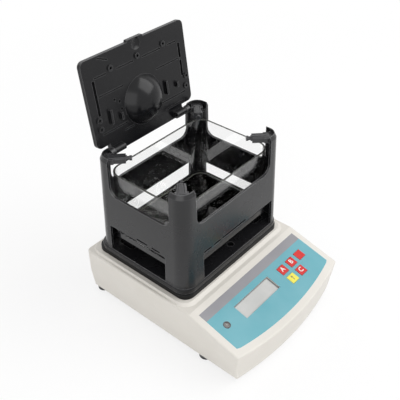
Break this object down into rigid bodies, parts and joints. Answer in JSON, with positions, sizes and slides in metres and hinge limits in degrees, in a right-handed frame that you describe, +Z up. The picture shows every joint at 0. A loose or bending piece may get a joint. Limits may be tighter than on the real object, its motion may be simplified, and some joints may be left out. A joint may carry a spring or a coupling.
{
  "type": "benchtop density meter",
  "caption": "Electronic balance with a sloped key panel, an open corner-post frame round a clear water tank, hanging studs on the posts and a hinged lid.",
  "frame": {"origin": "on the table plane, under the middle of the housing", "axes": "+X towards the user's right, -Y towards the user, +Z up"},
  "size_m": [0.175, 0.2188, 0.2737],
  "materials": {
    "housing": "satin",
    "black_moulding": "satin",
    "clear_tank": "gloss",
    "steel_fixings": "satin",
    "steel_plate": "satin",
    "load_cell_metal": "satin",
    "brass_bush": "satin",
    "teal_film": "satin",
    "grey_film": "satin",
    "display_pane": "gloss",
    "display_module": "satin",
    "circuit_board": "satin",
    "dome_metal": "satin",
    "vial_glass": "gloss",
    "socket_black": "satin",
    "key_red": "satin",
    "key_yellow": "satin",
    "foot_rubber": "matte",
    "foot_black": "satin"
  },
  "bodies": {
    "base": {"housing_top": "housing", "housing_bottom": "housing", "housing_screws": "steel_fixings", "base_chassis": "steel_plate", "chassis_screws": "steel_fixings", "cell_spacer": "load_cell_metal", "load_cell": "load_cell_metal", "deck_plate": "black_moulding", "deck_screws": "steel_fixings", "tank_stand": "black_moulding", "stand_screws": "steel_fixings", "panel_overlay": "teal_film", "header_strip": "grey_film", "display_window": "display_pane", "display_module": "display_module", "key_board": "circuit_board", "key_domes": "dome_metal", "level_ring": "black_moulding", "level_vial": "vial_glass", "main_board": "circuit_board", "power_inlet": "socket_black", "data_socket": "socket_black", "foot_bushes": "brass_bush"},
    "weigh_frame": {"measuring_frame": "black_moulding", "carrier_spacer": "load_cell_metal", "carrier_plate": "steel_plate", "carrier_risers": "load_cell_metal", "corner_arm_fl": "black_moulding", "corner_arm_fr": "black_moulding", "corner_arm_rl": "black_moulding", "corner_arm_rr": "black_moulding", "arm_screws": "steel_fixings", "hinge_pins": "steel_fixings"},
    "lid": {"lid": "black_moulding"},
    "tank": {"water_tank": "clear_tank"},
    "key_red_1": {"key_red_1": "key_red"},
    "key_red_2": {"key_red_2": "key_red"},
    "key_red_3": {"key_red_3": "key_red"},
    "key_red_4": {"key_red_4": "key_red"},
    "key_yellow": {"key_yellow": "key_yellow"},
    "foot_pad_fl": {"foot_pad_fl": "foot_rubber"},
    "foot_screw_fl": {"foot_screw_fl": "foot_black"},
    "foot_pad_fr": {"foot_pad_fr": "foot_rubber"},
    "foot_screw_fr": {"foot_screw_fr": "foot_black"},
    "foot_pad_rl": {"foot_pad_rl": "foot_rubber"},
    "foot_screw_rl": {"foot_screw_rl": "foot_black"},
    "foot_pad_rr": {"foot_pad_rr": "foot_rubber"},
    "foot_screw_rr": {"foot_screw_rr": "foot_black"}
  },
  "joints": [
    {"name": "weigh_travel", "type": "slide", "parent": "base", "child": "weigh_frame", "axis": [0, 0, 1], "range_m": [-0.0003, 0], "stiffness_N_per_m": 33000, "springref_m": 0.00013, "deforming": ["load_cell"]},
    {"name": "lid_hinge", "type": "hinge", "parent": "weigh_frame", "child": "lid", "pos_m": [0, 0.0871, 0.1777], "axis": [1, 0, 0], "range_deg": [-6, 97.9]},
    {"name": "tank_lift", "type": "slide", "parent": "base", "child": "tank", "axis": [0, 0, 1], "range_m": [0, 0.0085]},
    {"name": "key_red_1_press", "type": "slide", "parent": "base", "child": "key_red_1", "axis": [0, -0.2649, 0.9643], "range_m": [-0.0004, 0], "stiffness_N_per_m": 2000},
    {"name": "key_red_2_press", "type": "slide", "parent": "base", "child": "key_red_2", "axis": [0, -0.2649, 0.9643], "range_m": [-0.0004, 0], "stiffness_N_per_m": 2000},
    {"name": "key_red_3_press", "type": "slide", "parent": "base", "child": "key_red_3", "axis": [0, -0.2649, 0.9643], "range_m": [-0.0004, 0], "stiffness_N_per_m": 2000},
    {"name": "key_red_4_press", "type": "slide", "parent": "base", "child": "key_red_4", "axis": [0, -0.2649, 0.9643], "range_m": [-0.0004, 0], "stiffness_N_per_m": 2000},
    {"name": "key_yellow_press", "type": "slide", "parent": "base", "child": "key_yellow", "axis": [0, -0.2649, 0.9643], "range_m": [-0.0004, 0], "stiffness_N_per_m": 2000},
    {"name": "foot_fl_height", "type": "slide", "parent": "base", "child": "foot_pad_fl", "axis": [0, 0, 1], "range_m": [-0.004, 0]},
    {"name": "foot_fl_turn", "type": "hinge", "parent": "foot_pad_fl", "child": "foot_screw_fl", "pos_m": [-0.0755, -0.0505, 0], "axis": [0, 0, 1], "range_deg": [-1440, 0]},
    {"name": "foot_fr_height", "type": "slide", "parent": "base", "child": "foot_pad_fr", "axis": [0, 0, 1], "range_m": [-0.004, 0]},
    {"name": "foot_fr_turn", "type": "hinge", "parent": "foot_pad_fr", "child": "foot_screw_fr", "pos_m": [0.0755, -0.0505, 0], "axis": [0, 0, 1], "range_deg": [-1440, 0]},
    {"name": "foot_rl_height", "type": "slide", "parent": "base", "child": "foot_pad_rl", "axis": [0, 0, 1], "range_m": [-0.004, 0]},
    {"name": "foot_rl_turn", "type": "hinge", "parent": "foot_pad_rl", "child": "foot_screw_rl", "pos_m": [-0.0755, 0.1008, 0], "axis": [0, 0, 1], "range_deg": [-1440, 0]},
    {"name": "foot_rr_height", "type": "slide", "parent": "base", "child": "foot_pad_rr", "axis": [0, 0, 1], "range_m": [-0.004, 0]},
    {"name": "foot_rr_turn", "type": "hinge", "parent": "foot_pad_rr", "child": "foot_screw_rr", "pos_m": [0.0755, 0.1008, 0], "axis": [0, 0, 1], "range_deg": [-1440, 0]}
  ],
  "couplings": [
    {"joint": "foot_fl_turn", "follows": "foot_fl_height", "rad_per_m": 6283.2},
    {"joint": "foot_fr_turn", "follows": "foot_fr_height", "rad_per_m": 6283.2},
    {"joint": "foot_rl_turn", "follows": "foot_rl_height", "rad_per_m": 6283.2},
    {"joint": "foot_rr_turn", "follows": "foot_rr_height", "rad_per_m": 6283.2}
  ]
}
